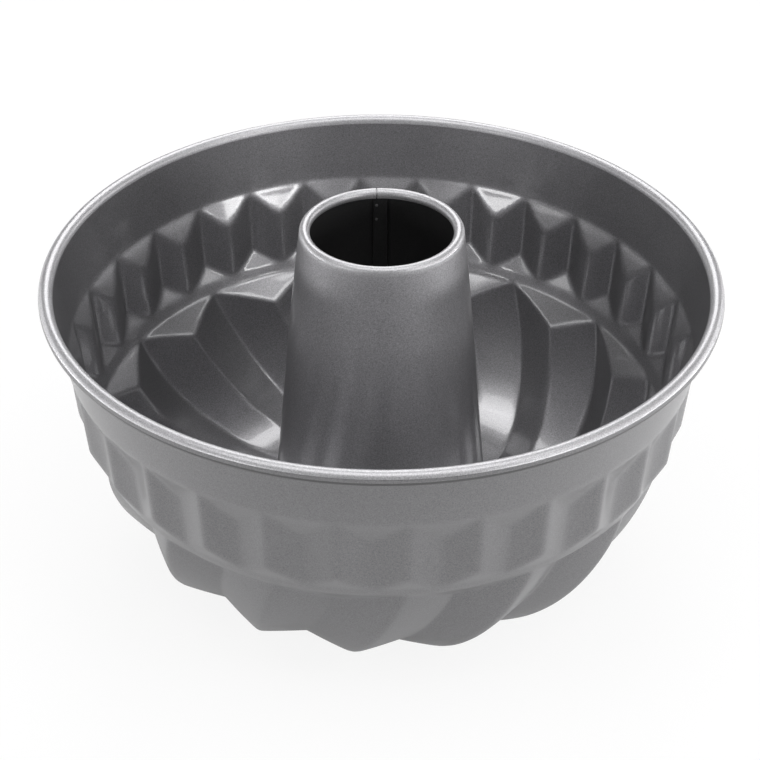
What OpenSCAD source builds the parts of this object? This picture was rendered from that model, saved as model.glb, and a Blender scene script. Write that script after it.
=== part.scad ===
// Fluted tube pan: a pressed steel bowl with a separate rolled steel tube locked into its middle.
// Lengths in millimetres. The table is the plane z = 0, the pan's axis is Z and its rim is at the top.
// The camera side of the pan is -Y and the tube's seam is at the back, on +Y.

/* [Bowl overall] */
// Outside diameter over the rolled rim
rim_d = 220; // [215:1:226]
// Height of the middle of the rolled rim above the table
rim_h = 104; // [98:1:112]
// Thickness of the pressed sheet of the bowl
sheet_t = 0.8; // [0.6:0.05:1]
// Number of twisted flutes round the lower bowl
flute_count = 15; // [12:1:18]
// Angle that turns the pattern of corners round the axis
pattern_turn = 7.25; // [0:0.25:24]

/* [Rolled rim and plain band] */
// Outside diameter of the rim's roll
rim_roll_d = 4.6; // [4:0.1:5.6]
// Height of the plain band, from the middle of the roll down to its foot
band_h = 20.9; // [18:0.1:24]
// Inside diameter at the foot of the plain band
band_d = 204.4; // [202:0.2:207]

/* [Prism band] */
// Height of the prism band, from the foot of the plain band to the ledge
prism_band_h = 28.9; // [27:0.1:33]
// How far a prism's ridge stands in from the corner lines
prism_depth = 3.3; // [2.4:0.1:4.2]
// Height of the slanting face that closes a prism at its top
prism_ramp_h = 9.2; // [6:0.1:11]
// Height of the small slanting face at the foot of a corner line
prism_toe_h = 6.4; // [4:0.1:8]
// How far the corner lines lean in over the height of the prism band
prism_lean = 2.4; // [1.6:0.1:2.6]

/* [Ledge] */
// Width of the steep ledge below the prisms
ledge_w = 1.5; // [1.2:0.1:3]
// Height lost over the ledge
ledge_drop = 3.9; // [3:0.1:5]

/* [Twisted flutes] */
// Depth of a flute just below the ledge
flute_depth = 6.3; // [4.5:0.1:7]
// Angle through which a flute turns on its way to the table
flute_turn = 19.75; // [12:0.25:24]
// Diameter of the ring on which the flutes touch the table
foot_ring_d = 104.8; // [102:0.2:108]
// Height that is pressed flat at the lowest point of each flute
foot_flat_h = 0.3; // [0.2:0.05:0.4]

/* [Land round the tube] */
// Width of the flat land outside the tube's wall
land_w = 5; // [4:0.1:6]
// How far the land lies above the lowest inside point of the flutes
land_rise = 2.7; // [2.5:0.1:3.6]

/* [Centre tube] */
// Thickness of the tube's sheet
tube_t = 0.8; // [0.6:0.05:1]
// Outside diameter of the tube where it meets the land
tube_foot_d = 76; // [74:0.2:80]
// How far the tube steps in from its wall to pass through the hole in the land
neck_step = 1.8; // [1.2:0.1:2.2]
// Outside diameter of the tube at its lip
tube_top_d = 53; // [48:0.2:58]
// Height of the middle of the tube's lip above the middle of the rim
tube_rise = 15.8; // [10:0.2:22]
// Outside diameter of the lip's inward roll
lip_roll_d = 3.5; // [3:0.1:4.2]
// Width of the two folds that clamp the land
clamp_w = 3.4; // [2.6:0.1:3.8]
// Radial play of the tube's neck in the hole
neck_play = 0.05; // [0.03:0.01:0.1]

/* [Tube seam] */
// Width of the lapped strip down the inside of the tube
lap_w = 4.5; // [3:0.1:7]
// Angle of the strip's middle from the back of the pan
lap_turn = -1.5; // [-10:0.5:10]
// Angle of the gap in the lip from the back of the pan
gap_turn = -4.2; // [-10:0.2:10]
// Width of the gap where the lip's ends meet
gap_w = 0.35; // [0.2:0.05:0.8]

/* [Hidden] */
$fn = 180;

// Points round the pan: each flute has a corner, a flank, a ridge and a flank
flute_steps = 4;
cols = flute_steps * flute_count;
step = 360 / cols;

// Heights
band_foot_z = rim_h - band_h;
ledge_top_z = band_foot_z - prism_band_h;
ledge_foot_z = ledge_top_z - ledge_drop;
flute_floor_z = sheet_t - foot_flat_h;
land_z = flute_floor_z + land_rise;
lip_z = rim_h + tube_rise;

// Radii
rim_r = rim_d / 2;
band_r = band_d / 2;
rim_roll_r = rim_roll_d / 2;
ledge_r = band_r - prism_lean - prism_depth;
ledge_in_r = ledge_r - ledge_w;
foot_ring_r = foot_ring_d / 2;
tube_foot_r = tube_foot_d / 2;
land_r = tube_foot_r + land_w;
hole_r = tube_foot_r - neck_step;
neck_r = hole_r - neck_play;
tube_top_r = tube_top_d / 2;
lip_roll_r = lip_roll_d / 2;

// Shape of the lower bowl's side: powers of a rounded quarter curve
side_in_power = 0.92;
side_down_power = 1.24;
// The turn of the flutes gathers pace on the way down
turn_power = 1.32;
// Share of the side's curve at which a flute's upper slanting face ends
flute_ramp_share = 0.16;
// Share of the depth that a flute loses between the ledge and the table
depth_loss_share = 0.6;
// Share by which the turn runs on between the table and the land
turn_on_share = 0.13;
// Share of the sheet kept clear where one stage of the pressing runs into the next
nip_share = 0.1;

side_rings = 12;
floor_rings = 4;
nip = nip_share * sheet_t;

// Depth of the wave at column j, as a share: 0 on a corner line and 1 on a ridge line
function prism_wave(j) = j % 2;
function flute_wave(j) = 1 - abs(j % flute_steps - flute_steps / 2) / (flute_steps / 2);

// Corner line of the prism band at height z
function corner_r(z) = band_r - prism_lean * (band_foot_z - z) / prism_band_h;

// Corner line of the flutes: place s runs from 0 at the ledge to 1 at the table
function side_r(s) = foot_ring_r + (ledge_in_r - foot_ring_r) * pow(cos(90 * s), side_in_power);
function side_z(s) = ledge_foot_z - (ledge_foot_z - flute_floor_z) * pow(sin(90 * s), side_down_power);
function side_turn(s) = flute_turn * pow(s, turn_power);
function side_depth(s) = flute_depth * (1 - depth_loss_share * s * s);

// Direction square to the side and into the pan, from two places near s
side_reach = 0.01;
function side_normal(s) =
    let (a = max(s - side_reach, 0), b = min(s + side_reach, 1))
    let (dr = side_r(b) - side_r(a), dz = side_z(b) - side_z(a))
    [dz, -dr] / norm([dr, dz]);

// Rings of the inner skin. Each ring is its turn, then radius and height at every column.
function level_ring(turn, r, z) = [turn, [for (j = [0:cols - 1]) [r, z]]];

function prism_ring(z) =
    [0, [for (j = [0:cols - 1]) [corner_r(z) - prism_depth * prism_wave(j), z]]];

function side_ring(s) =
    let (n = side_normal(s), ramp = min(s / flute_ramp_share, 1))
    [
        side_turn(s),
        [
            for (j = [0:cols - 1])
            let (d = side_depth(s) * min(flute_wave(j), ramp))
            [side_r(s) + n[0] * d, side_z(s) + n[1] * d]
        ]
    ];

function floor_ring(m) =
    [
        side_turn(1 + turn_on_share * m),
        [
            for (j = [0:cols - 1])
            [
                foot_ring_r + (land_r - foot_ring_r) * m,
                flute_floor_z + land_rise * m * m + side_depth(1) * (1 - m) * flute_wave(j)
            ]
        ]
    ];

// The sheet's upper edge lies inside the plain band, and its corners stay off the band's two faces
edge_r = band_r / cos(step / 2) + nip;
edge_t = sheet_t - (edge_r - band_r) - nip;
band_top_r = rim_r - rim_roll_d;
edge_lap = sheet_t / 2;
edge_lap_r = edge_r + edge_lap * (band_top_r - band_r) / band_h;

side_places = [
    flute_ramp_share / 2,
    flute_ramp_share,
    for (i = [1:side_rings]) flute_ramp_share + (1 - flute_ramp_share) * i / side_rings
];

inner_rings = [
    level_ring(0, edge_lap_r, band_foot_z + edge_lap),
    level_ring(0, edge_r, band_foot_z - nip),
    prism_ring(band_foot_z - prism_ramp_h),
    prism_ring(ledge_top_z + prism_toe_h),
    level_ring(0, ledge_r, ledge_top_z),
    level_ring(0, ledge_in_r, ledge_foot_z),
    for (s = side_places) side_ring(s),
    for (i = [1:floor_rings - 1]) floor_ring(i / floor_rings),
    level_ring(side_turn(1 + turn_on_share), land_r + edge_lap, land_z - nip),
    level_ring(side_turn(1 + turn_on_share), land_r - edge_lap, land_z - nip)
];
last = len(inner_rings) - 1;

// Step through the sheet at ring k, column j: square to the wall above and to the wall below
function wall_normal(k, j) =
    let (d = inner_rings[k + 1][1][j] - inner_rings[k][1][j])
    [-d[1], d[0]] / norm(d);

function wall_step(k, j) =
    k == 0 || k == 1 ? [edge_t, 0]
    : k >= last - 1 ? [0, -(sheet_t - 2 * nip)]
    : let (a = wall_normal(k - 1, j), b = wall_normal(k, j))
      (a + b) * sheet_t / (1 + a * b);

function round_point(turn, p) = [p[0] * sin(turn), p[0] * cos(turn), p[1]];

bowl_points = [
    for (skin = [0, 1])
    for (k = [0:last])
    for (j = [0:cols - 1])
    round_point(
        pattern_turn + inner_rings[k][0] + j * step,
        inner_rings[k][1][j] + skin * wall_step(k, j)
    )
];

function at(skin, k, j) = (skin * (last + 1) + k) * cols + j % cols;

// The first stage of each wave, from a corner to a ridge, is cut along the other diagonal from the second.
// The prism rings lie above the ledge's foot, which is ring 5.
ledge_foot_ring = 5;
function rising(k, j) = k < ledge_foot_ring ? j % 2 == 0 : j % flute_steps < flute_steps / 2;

function cell(skin, k, j) =
    let (a = at(skin, k, j), b = at(skin, k, j + 1), c = at(skin, k + 1, j + 1), d = at(skin, k + 1, j))
    rising(k, j) ? [[a, b, c], [a, c, d]] : [[a, b, d], [b, c, d]];

function flipped(f) = [f[2], f[1], f[0]];

bowl_faces = [
    for (k = [0:last - 1])
    for (j = [0:cols - 1])
    for (f = cell(0, k, j)) f,
    for (k = [0:last - 1])
    for (j = [0:cols - 1])
    for (f = cell(1, k, j)) flipped(f),
    for (j = [0:cols - 1]) [at(0, 0, j), at(1, 0, j), at(1, 0, j + 1)],
    for (j = [0:cols - 1]) [at(0, 0, j), at(1, 0, j + 1), at(0, 0, j + 1)],
    for (j = [0:cols - 1]) [at(0, last, j), at(1, last, j + 1), at(1, last, j)],
    for (j = [0:cols - 1]) [at(0, last, j), at(0, last, j + 1), at(1, last, j + 1)]
];

// The pressed wall: prism band, ledge, twisted flutes and the floor up to the land
module pressed_wall() {
    difference() {
        polyhedron(points = bowl_points, faces = bowl_faces);
        translate([0, 0, -rim_h / 2])
            cube([rim_d, rim_d, rim_h], center = true);
    }
}

// The sheet's edge is rolled outwards and so tightly that the roll is solid
module rim_roll() {
    translate([rim_r - rim_roll_r, rim_h])
        circle(r = rim_roll_r);
}

module band_and_rim() {
    rotate_extrude()
        union() {
            rim_roll();
            polygon([
                [band_r, band_foot_z],
                [band_r + sheet_t, band_foot_z],
                [band_top_r + sheet_t, rim_h],
                [band_top_r, rim_h]
            ]);
        }
}

module land() {
    rotate_extrude()
        translate([hole_r, land_z - sheet_t])
            square([land_r - hole_r, sheet_t]);
}

// Bowl: one sheet with its rim, prisms, ledge, flutes and land
module fluted_bowl() {
    color("DimGray")
        union() {
            band_and_rim();
            pressed_wall();
            land();
        }
}

// Outer face of the tube's wall at height z
tube_foot_z = land_z + tube_t;
function tube_r(z) =
    tube_foot_r + (tube_top_r - tube_foot_r) * (z - tube_foot_z) / (lip_z - tube_foot_z);

// The lip is rolled inwards in the same way
module lip_roll() {
    translate([tube_top_r - lip_roll_r, lip_z])
        circle(r = lip_roll_r);
}

module tube_wall_profile() {
    polygon([
        [tube_foot_r - tube_t, tube_foot_z],
        [tube_foot_r, tube_foot_z],
        [tube_top_r, lip_z],
        [tube_top_r - tube_t, lip_z]
    ]);
}

// The foot is folded over the land, down through the hole and out again below
module tube_foot_profile() {
    under_z = land_z - sheet_t;
    polygon([
        [neck_r - tube_t, under_z - tube_t],
        [neck_r + clamp_w, under_z - tube_t],
        [neck_r + clamp_w, under_z],
        [neck_r, under_z],
        [neck_r, land_z],
        [neck_r + clamp_w, land_z],
        [neck_r + clamp_w, tube_foot_z],
        [neck_r - tube_t, tube_foot_z]
    ]);
}

// Two thicknesses of sheet down the inside of the tube, where its ends lap
module lap_strip() {
    strip_top_z = lip_z - lip_roll_d;
    strip_turn = lap_w / tube_foot_r * 180 / PI;
    rotate([0, 0, 90 - lap_turn - strip_turn / 2])
        rotate_extrude(angle = strip_turn)
            polygon([
                [tube_r(tube_foot_z) - 2 * tube_t, tube_foot_z],
                [tube_r(tube_foot_z) - tube_t / 2, tube_foot_z],
                [tube_r(strip_top_z) - tube_t / 2, strip_top_z],
                [tube_r(strip_top_z) - 2 * tube_t, strip_top_z]
            ]);
}

// The gap between the two ends of the rolled lip
module lip_gap() {
    rotate([0, 0, -gap_turn])
        translate([-gap_w / 2, tube_top_r - lip_roll_d - tube_t, lip_z - lip_roll_r / 2])
            cube([gap_w, lip_roll_d, lip_roll_d]);
}

// Tube: one sheet rolled to a cone, with lip, lapped seam and folded foot
module centre_tube() {
    color("Gray")
        difference() {
            union() {
                rotate_extrude()
                    union() {
                        lip_roll();
                        tube_wall_profile();
                        tube_foot_profile();
                    }
                lap_strip();
            }
            lip_gap();
        }
}

fluted_bowl();
centre_tube();
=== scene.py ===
# %% [markdown]
# # A fluted tube pan, from bare sheet to finished coating
# The pan is one pressed steel bowl and one steel tube that is locked into its middle. All of it
# has a grey metallic non-stick coating, which is glossy inside and duller outside.
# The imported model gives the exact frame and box. This lesson builds the two sheets again with
# the soft creases and rolled edges that a press leaves, and then coats and lights them.

import math

import bpy
import numpy as np
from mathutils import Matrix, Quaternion, Vector


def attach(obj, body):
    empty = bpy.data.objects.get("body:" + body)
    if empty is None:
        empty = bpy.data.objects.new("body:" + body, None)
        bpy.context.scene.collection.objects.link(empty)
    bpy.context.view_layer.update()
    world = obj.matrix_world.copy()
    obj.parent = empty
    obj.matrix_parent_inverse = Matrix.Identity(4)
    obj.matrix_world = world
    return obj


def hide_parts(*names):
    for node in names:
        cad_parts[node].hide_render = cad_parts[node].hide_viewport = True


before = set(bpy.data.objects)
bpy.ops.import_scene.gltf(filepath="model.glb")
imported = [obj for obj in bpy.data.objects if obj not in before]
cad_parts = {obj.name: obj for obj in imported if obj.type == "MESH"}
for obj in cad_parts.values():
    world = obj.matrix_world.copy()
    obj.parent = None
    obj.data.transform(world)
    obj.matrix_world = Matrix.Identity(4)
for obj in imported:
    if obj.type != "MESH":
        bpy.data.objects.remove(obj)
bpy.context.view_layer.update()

# %% [markdown]
# ## The sheet and its pattern
# The sizes are the ones the solid model is built from. A sheet of this kind is easier to think
# about in millimetres, so every mesh is worked out in them and is turned into metres at the very
# end, in one place.
# The pattern repeats fifteen times round the pan. It is turned by a few degrees, so that the
# flutes stand where they do in the photograph.

# %% Sheet and pattern
mm = 0.001
sheet_t = 0.8
flutes = 15
flute_angle = 360 / flutes
pattern_turn = 7.25
print("one flute spans", flute_angle, "degrees")

# %% [markdown]
# ## The waves that make the flutes
# One way to get this shape is to push a flat disc about with sculpting tools. Another is to
# write down the path that the sheet takes from the rim to the hole and let a wave push it in and
# out. The second keeps all fifteen flutes alike, so it is used here.
# Only one flute is worked out, and turning it round fifteen times closes the bowl. The wave is 0
# on a corner line, where the sheet is furthest out, and 1 on a ridge. A share of a sine makes
# the faces swell a little, as pressed faces do.

# %% The waves of one flute
fine_cols = 288
phase = np.arange(fine_cols) / fine_cols
prisms_in_flute = 2
prism_swell, flute_swell = 0.6, 0.15


def tent(p):
    """0 at whole numbers and 1 half way between them."""
    return 1 - np.abs(2 * (p % 1) - 1)


def swollen_tent(p, swell):
    """A tent whose flat sides are blended with a sine, by the share given as swell."""
    return (1 - swell) * tent(p) + swell * np.sin(tent(p) * np.pi / 2)


prism_wave = swollen_tent(prisms_in_flute * phase, prism_swell)
flute_wave = swollen_tent(phase, flute_swell)
print("columns worked out in one flute:", fine_cols)

# %% [markdown]
# ## The plain band under the rim
# The sheet is worked out in stages. Each stage gives rows of turn, radius and height, one row for
# each small step down and one column for each place round the flute.
# The band under the rim has no wave. A cone from Blender's own mesh tools would do for it alone,
# but rows of the same width as the others can be joined to them without a seam.

# %% Plain band
rim_r, rim_z = 110.0, 104.0
rim_roll_r = 2.3
band_top_r = rim_r - 2 * rim_roll_r
band_r, band_foot_z = 102.2, 83.1
band_steps = 60


def straight_rows(top_r, top_z, foot_r, foot_z, count):
    """Rows of a plain cone, from its top towards its foot, without the foot itself."""
    # Adding 0 * phase repeats a row's value in every column.
    k = np.linspace(0, 1, count, endpoint=False)[:, None] + 0 * phase
    return 0 * k[:, 0], top_r + (foot_r - top_r) * k, top_z + (foot_z - top_z) * k


plain_band = straight_rows(band_top_r, rim_z, band_r, band_foot_z, band_steps)
print("plain band:", band_steps, "rows, down to", band_foot_z, "mm")

# %% [markdown]
# ## The band of prisms
# Thirty upright prisms are pressed into the side under the band. A slanting ramp closes each one
# at the top, and a small toe closes each corner at the foot.
# Cutting thirty wedges with a Boolean would leave hard seams. Taking the least of wave and ramp,
# and then the greatest of that and the toe, lets the faces find their own edges.
# The ramp starts flatter than it ends, which a power a little under 1 gives. Its top then shines
# in light from behind, as the real ones do.

# %% Band of prisms
prism_depth, prism_lean = 3.3, 2.4
ramp_h, ramp_curve = 9.2, 0.85
toe_h = 6.4
ledge_top_r, ledge_top_z = band_r - prism_lean - prism_depth, 54.2
prism_steps = 120


def prism_rows():
    z = np.linspace(band_foot_z, ledge_top_z, prism_steps, endpoint=False)[:, None] + 0 * phase
    fallen = band_foot_z - z
    corner = band_r - prism_lean * fallen / (band_foot_z - ledge_top_z)
    ramp = np.clip(fallen / ramp_h, 0, 1) ** ramp_curve
    toe = np.clip(1 - (z - ledge_top_z) / toe_h, 0, 1)
    share = np.maximum(np.minimum(prism_wave, ramp), toe)
    return 0 * z[:, 0], corner - prism_depth * share, z


prism_band = prism_rows()
print("prisms round the pan:", prisms_in_flute * flutes)

# %% [markdown]
# ## The ledge
# A narrow sloping ledge parts the prisms from the flutes. It is a second plain cone, so the
# band's function makes it too.

# %% Ledge
ledge_w = 1.5
ledge_in_r, ledge_foot_z = ledge_top_r - ledge_w, 50.3
ledge_steps = 16
ledge = straight_rows(ledge_top_r, ledge_top_z, ledge_in_r, ledge_foot_z, ledge_steps)
print("ledge:", ledge_w, "mm wide, down to", ledge_foot_z, "mm")

# %% [markdown]
# ## The twisted flutes
# Below the ledge the side curves in like a quarter of an egg, and the flutes turn as they go
# down. Bending a straight flute with a modifier would shear its faces. Here the wave pushes the
# sheet square to the curve, so the path's own direction is worked out at every step.
# The flutes start under a short ramp and grow shallower towards the floor.

# %% Flutes
foot_ring_r, flute_floor_z = 52.4, 0.5
side_power_in, side_power_down = 0.92, 1.24
flute_depth, depth_loss = 6.3, 0.6
flute_turn, turn_power = 19.75, 1.32
flute_ramp_share = 0.16
side_steps, slope_step = 260, 0.01


def side_path(s):
    """Radius and height at the share s of the way from the ledge to the floor."""
    r = foot_ring_r + (ledge_in_r - foot_ring_r) * np.cos(s * np.pi / 2) ** side_power_in
    z = ledge_foot_z - (ledge_foot_z - flute_floor_z) * np.sin(s * np.pi / 2) ** side_power_down
    return r, z


def side_depth(s):
    return flute_depth * (1 - depth_loss * s * s)


def side_rows():
    s = np.linspace(0, 1, side_steps, endpoint=False)
    r, z = side_path(s)
    before = side_path(np.clip(s - slope_step, 0, 1))
    after = side_path(np.clip(s + slope_step, 0, 1))
    dr, dz = after[0] - before[0], after[1] - before[1]
    length = np.hypot(dr, dz)
    push = side_depth(s)[:, None] * np.minimum(flute_wave, (s / flute_ramp_share)[:, None])
    return (flute_turn * s ** turn_power,
            r[:, None] + (dz / length)[:, None] * push,
            z[:, None] - (dr / length)[:, None] * push)


fluted_side = side_rows()
print("flutes:", flutes, "turned by", flute_turn, "degrees on their way down")

# %% [markdown]
# ## The floor and the land
# The flutes die away over the floor, which rises to a flat land round the hole. The tube is
# folded over this land. A last row at the hole's own radius ends the sheet, so the hole needs no
# cutting.

# %% Floor and land
land_r, land_z, hole_r = 43.0, 3.2, 36.2
turn_on_share = 0.13
floor_turn = flute_turn * (1 + turn_on_share)
floor_steps, land_steps = 40, 20


def floor_rows():
    m = np.linspace(0, 1, floor_steps, endpoint=False)
    rise = flute_floor_z + (land_z - flute_floor_z) * m * m
    flute_rest = side_depth(1) * (1 - m)[:, None] * flute_wave
    r = foot_ring_r + (land_r - foot_ring_r) * m
    return flute_turn + (floor_turn - flute_turn) * m, r[:, None] + 0 * phase, rise[:, None] + flute_rest


def land_rows():
    r = np.linspace(land_r, hole_r, land_steps)[:, None] + 0 * phase
    return np.full(land_steps, floor_turn), r, np.full_like(r, land_z)


stages = [plain_band, prism_band, ledge, fluted_side, floor_rows(), land_rows()]
turns, radii, heights = (np.concatenate([stage[i] for stage in stages]) for i in range(3))
print("rows before smoothing:", len(turns))

# %% [markdown]
# ## Rows at even distances
# The stages have rows at different distances. A blur rounds every crease alike only if the rows
# are evenly spaced along the sheet, so they are measured along their mean path and placed again.

# %% Space the rows evenly
row_gap = 0.35


def evenly_spaced(turns, radii, heights):
    step = np.hypot(np.diff(radii, axis=0), np.diff(heights, axis=0)).mean(axis=1)
    run = np.concatenate([[0], np.cumsum(step)])
    places = np.linspace(0, run[-1], int(run[-1] / row_gap))
    at = np.interp(places, run, np.arange(len(run)))
    low = np.minimum(at.astype(int), len(run) - 2)
    part = (at - low)[:, None]

    def blend(rows):
        return rows[low] * (1 - part) + rows[low + 1] * part

    return blend(turns[:, None])[:, 0], blend(radii), blend(heights)


turns, radii, heights = evenly_spaced(turns, radii, heights)
print("even rows:", len(turns), "with", row_gap, "mm between them")

# %% [markdown]
# ## Creases as a press leaves them
# A press can't fold steel to a knife edge: each crease has a radius of a millimetre or two. A
# bevel would need every crease to be found first. Here the rows are blurred a little along the
# path and round the pan, which rounds every crease at once, however it runs.

# %% Soften the creases
crease_down, crease_round = 0.75, 0.62
blur_reach = 7


def soften_down(rows):
    x = np.arange(-blur_reach, blur_reach + 1) * row_gap / crease_down
    weights = np.exp(-x * x / 2) / np.exp(-x * x / 2).sum()
    before = 2 * rows[:1] - rows[blur_reach:0:-1]
    after = 2 * rows[-1:] - rows[-2:-blur_reach - 2:-1]
    long = np.concatenate([before, rows, after])
    return sum(weight * long[i:i + len(rows)] for i, weight in enumerate(weights))


def soften_round(rows, radii):
    flute_length = 2 * np.pi * radii.mean(axis=1, keepdims=True) / flutes
    waves = np.fft.rfftfreq(fine_cols, 1 / fine_cols)
    keep = np.exp(-2 * (np.pi * waves * crease_round / flute_length) ** 2)
    return np.fft.irfft(np.fft.rfft(rows, axis=1) * keep, n=fine_cols, axis=1)


radii, heights = (soften_round(soften_down(rows), radii) for rows in (radii, heights))
print("softened from radius", radii[0].mean().round(2), "to", radii[-1].mean().round(2))

# %% [markdown]
# ## The two skins of the sheet
# The inside is now known. The outside lies one sheet's thickness away, square to the inside at
# every point. A Solidify modifier does much the same. Working it out here keeps both skins as
# rows, which the rolled rim then joins.
# A flute's lowest line is pressed flat where it stands on the table, so no point of the outside
# goes below the table.

# %% Work out the inside and outside points of one flute
def points_round(turns, radii, heights, columns):
    angle = np.radians(pattern_turn + turns[:, None] + columns * flute_angle)
    return np.stack([radii * np.sin(angle), radii * np.cos(angle), heights], axis=-1)


wrapped = np.arange(-1, fine_cols + 1)
inside_wide = points_round(turns, radii[:, wrapped % fine_cols], heights[:, wrapped % fine_cols],
                           wrapped / fine_cols)
down, along = np.gradient(inside_wide, axis=0), np.gradient(inside_wide, axis=1)
square = np.cross(down, along)
square /= np.linalg.norm(square, axis=-1, keepdims=True)

# The sign is read at one place near the rim, where the way out is plainly away from the axis.
test_row, test_col = 5, 5
points_out = np.sign(square[test_row, test_col, :2] @ inside_wide[test_row, test_col, :2])
inside = inside_wide[:, 1:-1]
outside = inside + sheet_t * points_out * square[:, 1:-1]
outside[..., 2] = np.maximum(outside[..., 2], 0)
print("lowest outside point:", outside[..., 2].min(), "mm")

# %% [markdown]
# ## Where the mesh needs its lines
# A mesh as fine as these rows would be wasteful, since most of it is smooth. A Decimate modifier
# would break the even faces. Instead rows and columns are kept where the sheet bends and thinned
# out where it doesn't: each step of the mesh covers an equal share of bending and length.

# %% Choose rows and columns by how much the sheet bends
mesh_rows, row_evenness = 106, 0.22
mesh_cols, col_evenness = 28, 0.12


def chosen(bend, count, evenness):
    """count places among the rows, closer together where bend is large."""
    weight = evenness + np.sqrt(bend / bend.max())
    run = np.concatenate([[0], np.cumsum((weight[1:] + weight[:-1]) / 2)])
    places = np.interp(np.linspace(0, run[-1], count), run, np.arange(len(run)))
    return np.unique(places.round().astype(int))


bend_down = np.abs(np.gradient(np.gradient(inside, axis=0), axis=0)).max(axis=(1, 2))
bend_round = np.abs(radii - (np.roll(radii, 1, 1) + np.roll(radii, -1, 1)) / 2).max(axis=0)

# Both prisms of a flute get the same columns, so they look alike.
bend_round = np.maximum(bend_round, np.roll(bend_round, fine_cols // prisms_in_flute))
rows_kept = chosen(bend_down, mesh_rows, row_evenness)
cols_kept = chosen(np.append(bend_round, bend_round[0]), mesh_cols + 1, col_evenness)[:-1]
print("mesh rows:", len(rows_kept), "columns in a flute:", len(cols_kept))

# %% [markdown]
# ## A mesh from rings
# Both pieces of the pan are closed loops of rings: down one skin, round an edge and back up the
# other. One function joins each ring to the next with four-sided faces, and the last ring to
# the first.

# %% Join rings into a mesh
sharp_from = 50


def mesh_from_rings(name, rings):
    """rings is an array of ring, place in ring, xyz in millimetres. Both ways round are closed."""
    count, width = rings.shape[:2]
    k, j = np.meshgrid(np.arange(count), np.arange(width), indexing="ij")
    k2, j2 = (k + 1) % count, (j + 1) % width
    corners = np.stack([k * width + j, k * width + j2, k2 * width + j2, k2 * width + j], axis=-1)
    mesh = bpy.data.meshes.new(name)
    mesh.from_pydata((rings.reshape(-1, 3) * mm).tolist(), [], corners.reshape(-1, 4).tolist())
    mesh.shade_smooth()
    mesh.set_sharp_from_angle(angle=math.radians(sharp_from))
    piece = bpy.data.objects.new(name, mesh)
    bpy.context.scene.collection.objects.link(piece)
    print(name, "has", len(mesh.vertices), "points")
    return piece


def full_circle(rows):
    """Turns one flute's points round the pan fifteen times."""
    turned = []
    for i in range(flutes):
        a = math.radians(i * flute_angle)
        spin = np.array([[math.cos(a), math.sin(a), 0], [-math.sin(a), math.cos(a), 0], [0, 0, 1]])
        turned.append(rows @ spin.T)
    return np.concatenate(turned, axis=1)


# %% [markdown]
# ## The rolled rim
# The rim's edge is rolled outwards until it comes back to the wall, which makes it stiff and
# safe to hold. A curve with a bevel would give a loose ring. Here the roll is part of the same
# loop of rings, so light runs from the wall over the roll without a seam. The roll closes
# against the outside, and the dark line there is painted shade on the roll's underside.

# %% Roll the rim and close the bowl
roll_points, roll_end = 21, 226
crease_gap = 0.1
columns = cols_kept / fine_cols


def level_ring(radius, height):
    """A level ring with the bowl's columns, so that it joins to the rows."""
    angle = np.radians(pattern_turn + columns * flute_angle)
    return np.stack([radius * np.sin(angle), radius * np.cos(angle), np.full_like(angle, height)],
                    axis=-1)


roll_angles = np.radians(np.linspace(180, roll_end - 360, roll_points))
roll = np.stack([
    level_ring(rim_r - rim_roll_r + rim_roll_r * math.cos(a), rim_z + rim_roll_r * math.sin(a))
    for a in roll_angles[::-1]
])
crease_z = rim_z + rim_roll_r * math.sin(math.radians(roll_end))
outside_rows = [k for k in rows_kept if outside[k, 0, 2] < crease_z - crease_gap]
bowl_rings = np.concatenate([
    roll[:-1],
    inside[rows_kept][:, cols_kept],
    outside[outside_rows[::-1]][:, cols_kept],
])
bowl = mesh_from_rings("pressed_bowl", full_circle(bowl_rings))

# %% [markdown]
# ## The tube
# The tube is a cone with its lip rolled inwards and its foot folded over both faces of the land.
# A Screw modifier could turn its profile, but the seam needs columns of its own. So the profile
# is worked out as a closed path of points, and the columns are placed in the next step.
# The wall fills out a little under the lip, as its outline does in the photograph.

# %% The tube's profile
tube_foot_r, tube_top_r = 38.0, 26.5
tube_foot_z, lip_z, lip_roll_r = land_z + sheet_t, 119.8, 1.75
tube_bell, bell_power = 0.3, 2.5
neck_r, clamp_w = 36.15, 3.4
fold_r, fillet_r, fillet_end = 0.3, 1.0, -176
lip_start, lip_finish = 12, 300
wall_points, lip_points, fold_points, toe_points, fillet_points = 40, 40, 4, 5, 6
wall_start, wall_end, passage_start = 1.2, 0.8, 2.2


def tube_wall_r(z):
    """Outer face of the tube's wall."""
    k = (z - tube_foot_z) / (lip_z - tube_foot_z)
    return tube_foot_r + (tube_top_r - tube_foot_r) * k + tube_bell * np.sin(np.pi * k ** bell_power)


def arc(centre_r, centre_z, radius, start, end, count):
    """Points of an arc. The angles are in degrees, with 0 pointing away from the axis."""
    a = np.radians(np.linspace(start, end, count))
    return list(zip(centre_r + radius * np.cos(a), centre_z + radius * np.sin(a)))


def folded_foot():
    """Down through the hole, out under the land, back in and out again over the land."""
    toe_r, under_z = neck_r + clamp_w, land_z - 2 * sheet_t
    foot = [(neck_r - sheet_t, tube_foot_z + 2 * fold_r), (neck_r - sheet_t, under_z + fold_r)]
    foot += arc(neck_r - sheet_t + fold_r, under_z + fold_r, fold_r, 180, 270, fold_points)
    foot += arc(toe_r - fold_r, under_z + fold_r, fold_r, -90, 0, fold_points)
    foot += [(toe_r, land_z - sheet_t), (neck_r, land_z - sheet_t), (neck_r, land_z)]
    return foot + arc(toe_r - fold_r, tube_foot_z - fold_r, fold_r, 0, 90, toe_points)


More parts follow.
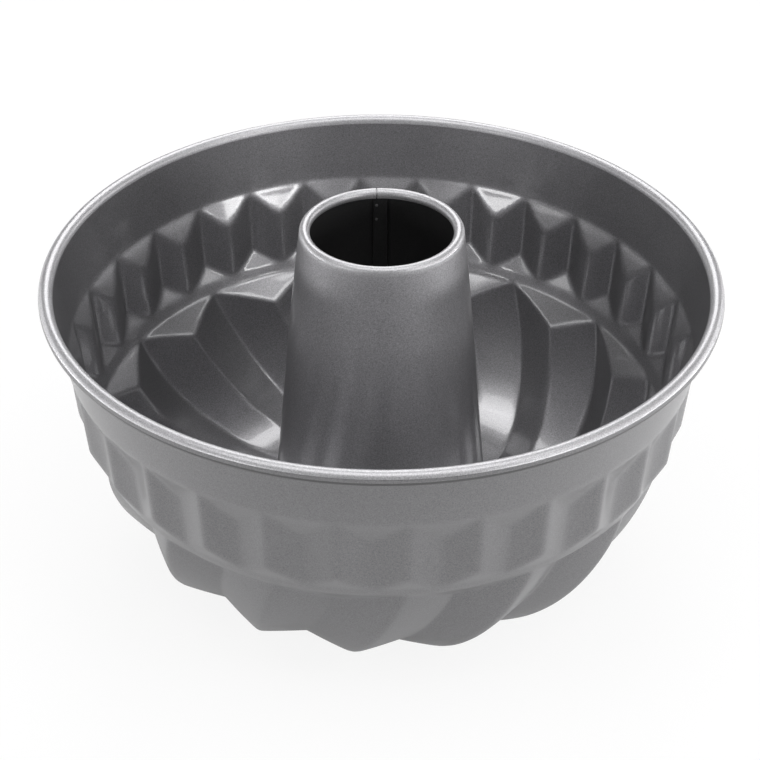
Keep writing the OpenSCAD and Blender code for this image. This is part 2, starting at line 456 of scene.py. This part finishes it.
def tube_profile():
    wall_z = np.linspace(tube_foot_z + wall_start, lip_z - wall_end, wall_points)
    outer = [(tube_wall_r(z), z) for z in wall_z]
    inner = [(tube_wall_r(z) - sheet_t, z) for z in wall_z[::-1] if z < lip_z - passage_start]
    lip = arc(tube_top_r - lip_roll_r, lip_z, lip_roll_r, lip_start, lip_finish, lip_points)
    fillet = arc(tube_foot_r + fillet_r, tube_foot_z + fillet_r, fillet_r, -90, fillet_end, fillet_points)
    return outer + lip + inner + folded_foot() + fillet


profile = np.array(tube_profile())
print("points in the tube's profile:", len(profile))

# %% [markdown]
# ## Columns for the seam
# The tube starts as a flat sheet, so it has a seam. Its ends lap inside the passage, and the two
# ends of the rolled lip almost meet. Cutting these with a Boolean would spoil the even faces. It
# is simpler to give the tube a pair of close columns at each edge of the gap, the lap and the
# groove beside it.

# %% Columns round the tube
gap_at, gap_half, gap_edge = -4.2, 0.37, 0.03
lap_from, lap_to = -6.3, 3.9
lap_edge_out, lap_edge_in = 0.15, 0.1
groove_to, groove_edge = 5.4, 0.2
column_step, column_clear = 1.25, 0.3

gap_edges = [gap_at + half + step for half in (-gap_half, gap_half) for step in (-gap_edge, gap_edge)]
lap_edges = [lap_from - lap_edge_out, lap_from + lap_edge_in, lap_to - lap_edge_in, lap_to + lap_edge_out]
seam_edges = np.array(gap_edges + lap_edges + [groove_to, groove_to + groove_edge])
even = np.arange(-180, 180, column_step)
even = even[np.abs(even[:, None] - seam_edges).min(axis=1) > column_clear]
degrees = np.sort(np.concatenate([even, seam_edges]))
print("columns round the tube:", len(degrees))

# %% [markdown]
# ## The gap, the lap and the groove
# Three parts of the profile move in or out in those columns. At the gap the lip shrinks to a
# thin core, which leaves a dark slit between its two ends. At the lap the passage's wall stands
# proud, and just beside it the wall sinks into a shallow groove that reads as a line.

# %% Move the seam's columns and make the tube
lap_proud, groove_deep = 0.7, 0.3
core_share = 0.25
lip_first, lip_end = wall_points + 2, wall_points + lip_points
passage_in, passage_up = 0.5, 1.0


def seamed(profile):
    """The profile at every column, with the lip opened at the gap and the lap raised inside."""
    radius, height = (np.repeat(profile[:, i:i + 1], len(degrees), axis=1) for i in (0, 1))
    point = np.arange(len(profile))[:, None]
    in_lip = (point >= lip_first) & (point < lip_end)
    in_passage = ((point >= lip_end) & (radius < tube_wall_r(height) - passage_in)
                  & (height > tube_foot_z + passage_up))
    in_gap = in_lip & (np.abs(degrees - gap_at) < gap_half)
    in_lap = in_passage & (degrees > lap_from) & (degrees < lap_to)
    in_groove = in_passage & (degrees > lap_to) & (degrees < groove_to + groove_edge / 2)
    core_r = tube_top_r - lip_roll_r
    radius = np.where(in_gap, core_r + core_share * (radius - core_r), radius)
    height = np.where(in_gap, lip_z + core_share * (height - lip_z), height)
    return radius - lap_proud * in_lap + groove_deep * in_groove, height


tube_r, tube_z = seamed(profile)
around = np.radians(degrees)
tube_rings = np.stack([tube_r * np.sin(around), tube_r * np.cos(around), tube_z], axis=-1)
tube = mesh_from_rings("rolled_tube", tube_rings)

# %% [markdown]
# ## Two weld marks on the lap
# Two small round marks show on the lap inside the passage, where a spot welder may have pinched
# the two layers. A squashed sphere would do. Turning a short outline gives a flatter top and a
# rim that sinks into the lap, with the function that is already here.

# %% Weld marks
weld_r, weld_high, weld_turn, weld_heights = 0.55, 0.2, -4.0, (114.8, 109.1)
weld_sides = 16
weld_outline = np.array([(0.02, 1), (0.35, 0.93), (0.62, 0.7), (0.82, 0.3), (0.9, -0.3), (0.02, -0.3)])


def weld_mark(name, z):
    """A low round swelling, turned round the line that points into the passage."""
    out_r = weld_outline[:, 0] * weld_r / weld_outline[:, 0].max()
    high = weld_outline[:, 1] * weld_high
    turn = np.radians(np.arange(weld_sides) * 360 / weld_sides)[None, :, None]
    a = math.radians(weld_turn)
    inward = np.array([-math.sin(a), -math.cos(a), 0])
    side = np.array([math.cos(a), -math.sin(a), 0])
    up = np.array([0, 0, 1])
    seat = z * up - (tube_wall_r(z) - sheet_t - lap_proud) * inward
    spokes = np.cos(turn) * side + np.sin(turn) * up
    return mesh_from_rings(name, seat + high[:, None, None] * inward + out_r[:, None, None] * spokes)


welds = [weld_mark(f"weld_mark_{i + 1}", z) for i, z in enumerate(weld_heights)]

# %% [markdown]
# ## Shader sums that read as sums
# A node tree written link by link is hard to follow. The class below holds one output socket.
# Adding, subtracting or multiplying it places the Math node, and `place` makes every other node.

# %% A small helper for node trees
class Wire:
    """One output socket of a node tree."""

    def __init__(self, tree, socket):
        self.tree, self.socket = tree, socket

    @staticmethod
    def place(tree, kind, settings=None, inputs=None, output=0):
        """Adds a node, sets it up, fills its sockets with values or wires and returns one output."""
        node = tree.nodes.new(kind)
        for key, value in (settings or {}).items():
            setattr(node, key, value)
        for key, value in (inputs or {}).items():
            if isinstance(value, Wire):
                tree.links.new(value.socket, node.inputs[key])
            else:
                node.inputs[key].default_value = value
        return Wire(tree, node.outputs[output]) if node.outputs else node

    def sum(self, operation, first, second):
        return Wire.place(self.tree, "ShaderNodeMath", {"operation": operation}, {0: first, 1: second})

    def __add__(self, other):
        return self.sum("ADD", self, other)

    __radd__ = __add__

    def __sub__(self, other):
        return self.sum("SUBTRACT", self, other)

    def __rsub__(self, other):
        return self.sum("SUBTRACT", other, self)

    def __mul__(self, other):
        return self.sum("MULTIPLY", self, other)

    __rmul__ = __mul__


print("sums that a wire can do: add, subtract, multiply")

# %% [markdown]
# ## The grain of the coating
# The coating is a grey paint with fine metal flakes, sprayed on in a layer that is never quite
# even. A picture of such a surface would have to be wrapped round the flutes. Noise in the
# object's own coordinates needs no wrapping: one fine noise for the flakes, one wide noise for
# the clouds of the spray, and one between them for the ripples.

# %% Noise on the object's own coordinates
def new_material(name):
    material = bpy.data.materials.new(name)
    material.use_nodes = True
    material.node_tree.nodes.clear()
    return material


def noise(tree, scale, detail, roughness):
    """scale is in waves to the metre."""
    spot = Wire.place(tree, "ShaderNodeTexCoord", output="Object")
    return Wire.place(tree, "ShaderNodeTexNoise", None,
                      {"Vector": spot, "Scale": scale, "Detail": detail, "Roughness": roughness})


flake_scale, ripple_scale, cloud_scale = 2600.0, 420.0, 45.0
print("flakes are about", round(1000 / flake_scale, 2), "mm apart")

# %% [markdown]
# ## The non-stick coating
# Flakes and clouds set the grey and the gloss, and the ripples only dent the surface, so they
# show in the highlights alone. A mix of a metal shader and a glossy one could give this paint.
# One metallic shader under a clear coat does the same and exports cleanly.
# `edge` darkens the shine where the sheet is seen at a low angle, `film` is the weight of the
# clear coat, and `film_gloss` its roughness.

# %% Mix one coat
mid_noise = 0.5
green_cast, blue_cast = 0.99, 1.025
grain_contrast, cloud_base, cloud_share = 2.2, 0.4, 0.2
dark_flake, light_flake = 0.68, 1.32
flake_rough, cloud_rough = 0.25, 0.06
dent_strength, dent_height, flake_dents = 0.05, 0.0002, 0.4


def grey(level):
    """A grey with the slight violet cast of the real coating."""
    return (level, level * green_cast, level * blue_cast, 1)


def coating(name, level, metal, edge, gloss, film, film_gloss, film_index):
    material = new_material(name)
    tree = material.node_tree
    flakes = noise(tree, scale=flake_scale, detail=2.0, roughness=0.6)
    clouds = noise(tree, scale=cloud_scale, detail=3.0, roughness=0.5)
    ripples = noise(tree, scale=ripple_scale, detail=2.0, roughness=0.5)
    speckle = Wire.place(tree, "ShaderNodeMath", {"operation": "ADD", "use_clamp": True},
                         {0: grain_contrast * (flakes - mid_noise),
                          1: cloud_base + cloud_share * clouds})
    colour = Wire.place(tree, "ShaderNodeMix", {"data_type": "RGBA"},
                        {"Factor": speckle, "A": grey(level * dark_flake),
                         "B": grey(level * light_flake)},
                        output="Result")
    rough = gloss + flake_rough * (flakes - mid_noise) + cloud_rough * (clouds - mid_noise)
    dents = Wire.place(tree, "ShaderNodeBump", None,
                       {"Strength": dent_strength, "Distance": dent_height,
                        "Height": ripples + flake_dents * flakes})
    shader = Wire.place(tree, "ShaderNodeBsdfPrincipled", None,
                        {"Base Color": colour, "Metallic": metal, "Roughness": rough, "Normal": dents,
                         "Coat Weight": film, "Coat Roughness": film_gloss, "Coat IOR": film_index,
                         "Specular Tint": (edge, edge, edge, 1)})
    Wire.place(tree, "ShaderNodeOutputMaterial", None, {"Surface": shader})
    print(name, "coated at grey", level)
    return material


# %% [markdown]
# ## Six coats
# The inside is glossier than the outside. One coat can't match both sides of the bowl under the
# same lamps, so each part has its own grey: raised as painted light on the tube, the rim and the
# lip, and lowered as painted shade outside. The hollow under the rim's roll and the tube's
# passage are painted shade, almost black. They differ in grey, metal and clear film, and share
# one grain.

# %% Mix all the coats
inside_coating = coating("inside_coating", level=0.275, metal=0.82, edge=0.4, gloss=0.36,
                         film=0.75, film_gloss=0.08, film_index=1.65)
# Lighter than the inside on the tube's wall and foot fillet: painted light.
tube_painted_light = coating("tube_painted_light", level=0.48, metal=0.8, edge=0.15, gloss=0.37,
                       film=0.5, film_gloss=0.1, film_index=1.55)
# Darker than the inside on the bowl's outside: painted shade.
outside_coating = coating("outside_coating", level=0.138, metal=0.2, edge=1.0, gloss=0.45,
                          film=0.55, film_gloss=0.15, film_index=1.5)
# Lighter than the inside on the rim's roll and the tube's lip: painted light.
rim_painted_light = coating("rim_painted_light", level=0.4, metal=0.6, edge=1.0, gloss=0.46,
                      film=0.5, film_gloss=0.14, film_index=1.5)
# Almost black where the roll turns in under itself: painted shade that draws the dark line under the rim.
underside_painted_shade = coating("underside_painted_shade", level=0.05, metal=0.2, edge=1.0, gloss=0.5,
                            film=0.2, film_gloss=0.3, film_index=1.5)
# Almost black inside the tube's passage: painted shade.
passage_painted_shade = coating("passage_painted_shade", level=0.03, metal=0.3, edge=1.0, gloss=0.5,
                          film=0.5, film_gloss=0.2, film_index=1.5)

# %% [markdown]
# ## Coat the pieces ring by ring
# Each mesh is one loop of rings, so a coat covers a run of rings and its edge always follows the
# sheet. Painting faces by hand or by height would cut across the flutes. On the tube's lip the
# last three rings lie in the dark passage already, and so they get its painted shade.
# The roll of the rim has three coats: the rim's painted light on top, the outside's darker grey
# as painted shade on its lower half, and near black painted shade where it turns in under itself.
# That painted shade draws the thin dark line under the rim.

# %% Give every ring of faces its coat
def coat_rings(piece, ring_count, coats):
    """coats lists a material and the number of rings of faces it covers, in the loop's order."""
    width = len(piece.data.vertices) // ring_count
    slots = []
    for material, rings in coats:
        if material.name not in piece.data.materials:
            piece.data.materials.append(material)
        slots += [piece.data.materials.find(material.name)] * (rings * width)
        print(piece.name, material.name, "on", rings, "rings")
    piece.data.polygons.foreach_set("material_index", np.array(slots, dtype=np.int32))


roll_angle_down = np.degrees(roll_angles[1:])
# Below these angles the roll gets painted shade: near black lowest, then the outside's darker grey.
deepest_shade_below, painted_shade_below = -20, 10
roll_rings = len(roll) - 1
roll_deepest_shade, roll_painted_shade = (int((roll_angle_down < limit).sum()) for limit in (deepest_shade_below, painted_shade_below))
inner_rings = len(rows_kept) - 1
coat_rings(bowl, len(bowl_rings), [
    (underside_painted_shade, roll_deepest_shade),
    (outside_coating, roll_painted_shade - roll_deepest_shade),
    (rim_painted_light, roll_rings - roll_painted_shade),
    (inside_coating, inner_rings),
    (outside_coating, len(bowl_rings) - roll_rings - inner_rings),
])

# The lip's last rings lie in the passage and get its painted shade.
lip_hidden = 3
wall_rings, lip_rings = wall_points - 1, lip_points - lip_hidden
fold_rings, fillet_rings = 10, fillet_points
passage_rings = len(profile) - wall_rings - lip_rings - fold_rings - fillet_rings
coat_rings(tube, len(profile), [
    (tube_painted_light, wall_rings),
    (rim_painted_light, lip_rings),
    (passage_painted_shade, passage_rings),
    (outside_coating, fold_rings),
    (tube_painted_light, fillet_rings),
])
# The weld marks take the outside's grey, lighter than the passage's painted shade round them.
for weld in welds:
    weld.data.materials.append(outside_coating)

# %% [markdown]
# ## The table
# The pan stands on a plain white table. A very bright lamp would make the table white, but would
# bleach the pan too. Instead the table's material shows the camera a large share of plain white,
# and the rest is white paint, which keeps the pan's shadow. Metal sees a smaller share of it.

# %% Table
white_to_eye, white_in_metal = 0.88, 0.2
table_half, table_drop = 8.0, 0.0001
paint_white = 0.88


def white_share(tree):
    """How much of the table is plain white to the ray that sees it."""
    eye, mirror, glass = (Wire.place(tree, "ShaderNodeLightPath", output=f"Is {kind} Ray")
                          for kind in ("Camera", "Glossy", "Transmission"))
    return white_to_eye * eye + white_in_metal * (mirror + glass)


def white_table():
    material = new_material("white_table")
    tree = material.node_tree
    paint = Wire.place(tree, "ShaderNodeBsdfDiffuse", None,
                       {"Color": (paint_white, paint_white, paint_white, 1)})
    white = Wire.place(tree, "ShaderNodeEmission", None, {"Color": (1, 1, 1, 1), "Strength": 1.0})
    mixed = Wire.place(tree, "ShaderNodeMixShader", None, {"Fac": white_share(tree), 1: paint, 2: white})
    Wire.place(tree, "ShaderNodeOutputMaterial", None, {"Surface": mixed})
    return material


def table_top():
    mesh = bpy.data.meshes.new("table_top")
    corners = [(x * table_half, y * table_half, -table_drop)
               for x, y in ((-1, -1), (1, -1), (1, 1), (-1, 1))]
    mesh.from_pydata(corners, [], [(0, 1, 2, 3)])
    mesh.materials.append(white_table())
    piece = bpy.data.objects.new("table_top", mesh)
    bpy.context.scene.collection.objects.link(piece)
    return piece


print(table_top().name, "is", 2 * table_half, "metres wide")

# %% [markdown]
# ## The room and the soft boxes
# Glossy metal shows what stands round it, so its highlights are pictures of the lamps. They
# could be painted on, but then they would stay put when the pan turns. Here each soft box
# stands where some highlight of the photograph asks for it. Low boxes in front light the patches
# at the feet of the flutes, boxes overhead and behind light the ramps and the ledge, and long
# strips at the sides draw the bright edges of the rim.
# A pale room fills in what the boxes leave.

# %% Room light and soft boxes
aim_height, box_distance = 0.06, 1.3


def pale_room(strength):
    world = bpy.data.worlds.new("pale_room")
    bpy.context.scene.world = world
    world.use_nodes = True
    tree = world.node_tree
    tree.nodes.clear()
    back = Wire.place(tree, "ShaderNodeBackground", None, {"Color": (1, 1, 1, 1), "Strength": strength})
    Wire.place(tree, "ShaderNodeOutputWorld", None, {"Surface": back})


def soft_box(name, azimuth, height, width, length, radiance):
    """A lamp aimed at the pan. Azimuth 0 is behind the camera, and both angles are in degrees."""
    a, e = math.radians(azimuth), math.radians(height)
    away = Vector((math.sin(a) * math.cos(e), -math.cos(a) * math.cos(e), math.sin(e)))
    lamp = bpy.data.lights.new(name, "AREA")
    lamp.shape = "RECTANGLE"
    lamp.size, lamp.size_y = width, length
    lamp.energy = radiance * width * length * math.pi
    piece = bpy.data.objects.new(name, lamp)
    piece.location = Vector((0, 0, aim_height)) + box_distance * away
    piece.rotation_euler = (-away).to_track_quat("-Z", "Y").to_euler()
    piece.visible_camera = False
    bpy.context.scene.collection.objects.link(piece)
    print(name, "gives", round(lamp.energy, 1), "watts")


pale_room(strength=0.14)
soft_box("overhead_box", azimuth=0, height=71, width=1.5, length=0.36, radiance=3.6)
soft_box("ceiling_box", azimuth=0, height=87, width=1.5, length=0.42, radiance=3.3)
soft_box("back_box", azimuth=180, height=42, width=0.7, length=0.8, radiance=4.4)
soft_box("left_box", azimuth=-45, height=15, width=0.45, length=0.24, radiance=8.0)
soft_box("right_box", azimuth=49, height=15, width=0.62, length=0.24, radiance=9.6)
soft_box("high_right_box", azimuth=58, height=40, width=0.4, length=0.3, radiance=4.5)
soft_box("left_panel", azimuth=-76, height=24, width=0.6, length=0.4, radiance=1.8)
soft_box("right_panel", azimuth=82, height=24, width=0.6, length=0.4, radiance=1.8)
soft_box("left_strip", azimuth=-92, height=0, width=1.2, length=0.08, radiance=17)
soft_box("right_strip", azimuth=92, height=0, width=1.2, length=0.08, radiance=20)
soft_box("left_back_box", azimuth=-118, height=15, width=0.9, length=0.4, radiance=2.3)
soft_box("right_back_box", azimuth=118, height=16, width=0.9, length=0.42, radiance=2.9)

# %% [markdown]
# ## The camera
# The photograph's own view was worked out from the rim's ellipse and the tube: a long lens about
# two thirds of a metre away, looking down at 35 degrees. The lens is written as a focal length
# in pixels of the photograph, which is what such a fit gives.

# %% Camera
photo_width, focal_length, sideways_shift = 760, 1892.47, -0.9
sensor_width = 36
camera_at = Vector((0, -0.5224, 0.4260))
look_at = Vector((0, 0, 0.0620))
camera_roll = 0.35


def camera():
    data = bpy.data.cameras.new("camera")
    data.sensor_width = sensor_width
    data.lens = sensor_width * focal_length / photo_width
    data.shift_x = sideways_shift / photo_width
    piece = bpy.data.objects.new("camera", data)
    piece.location = camera_at
    aim = (look_at - camera_at).to_track_quat("-Z", "Y")
    piece.rotation_euler = (aim @ Quaternion((0, 0, 1), math.radians(camera_roll))).to_euler()
    bpy.context.scene.collection.objects.link(piece)
    bpy.context.scene.camera = piece
    print("lens:", round(data.lens, 1), "mm")


camera()
bpy.context.scene.view_settings.view_transform = "Standard"

# %% [markdown]
# ## Hand the pieces to the frame
# The bowl and the tube stand for their CAD nodes, and the weld marks go with the tube. All of
# them move with the pan's one body.

# %% Ride and replace
for piece, node, slot in [(bowl, "fluted_bowl", "coated_sheet"), (tube, "centre_tube", "coated_tube"),
                          *((weld, "centre_tube", "coated_tube") for weld in welds)]:
    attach(piece, "root")
    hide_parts(node)
